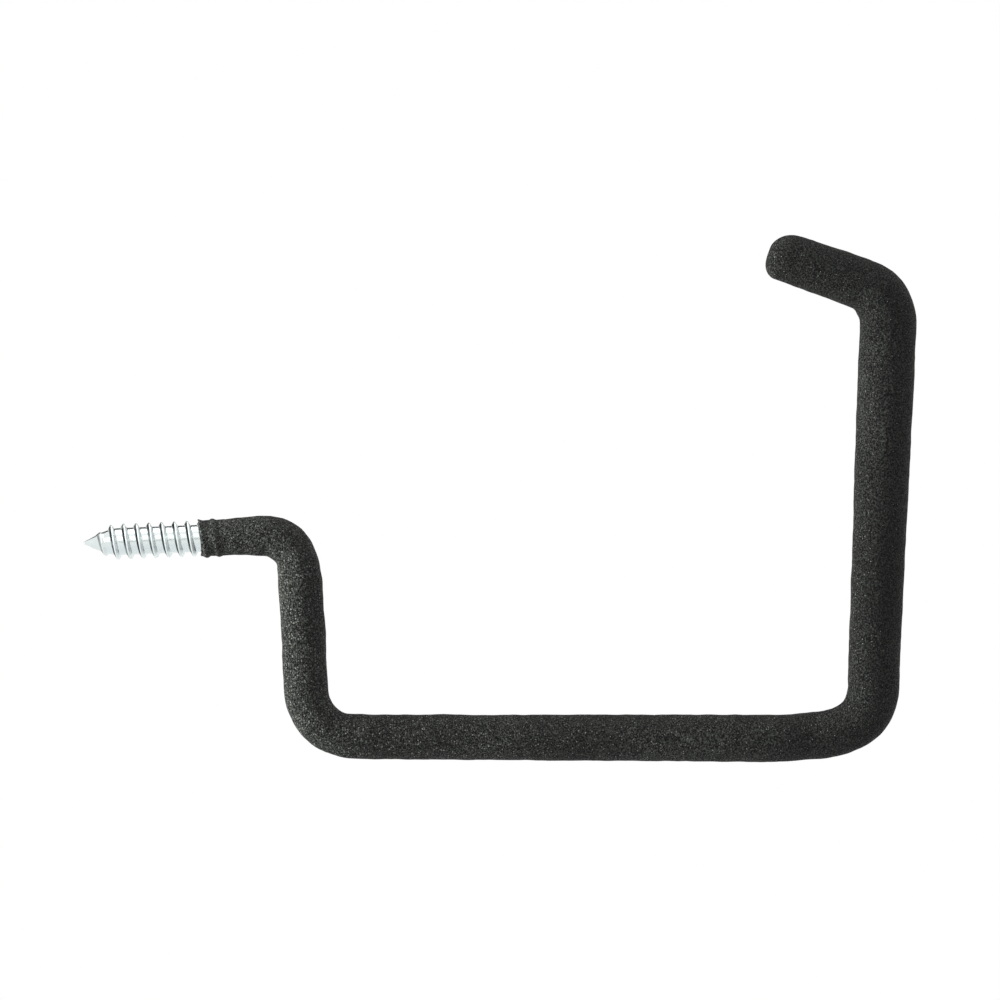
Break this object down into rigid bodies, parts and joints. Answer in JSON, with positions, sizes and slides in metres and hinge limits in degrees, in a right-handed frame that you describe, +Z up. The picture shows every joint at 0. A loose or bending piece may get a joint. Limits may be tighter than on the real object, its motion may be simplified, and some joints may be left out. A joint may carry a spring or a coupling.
{
  "type": "screw-in utility hook",
  "caption": "Bent steel utility hook with a wood-screw end and a thick dipped soft coat, for hanging garden tools, hoses or ladders from a wall stud.",
  "frame": {"origin": "on the screw's axis at the edge of the coat, where the wall's face stands once the screw is driven home", "axes": "+X out of the wall along the screw's axis, +Z up along the post towards the lip, and +Y across the hook, square to the plane it is bent in"},
  "size_m": [0.1865, 0.012, 0.1185],
  "materials": {
    "zinc_steel": "bright zinc plating on rolled steel",
    "soft_coat": "matt dipped coat with a fine speckled grain"
  },
  "bodies": {
    "root": {"screw_rod": "zinc_steel", "dipped_coat": "soft_coat"}
  },
  "joints": []
}
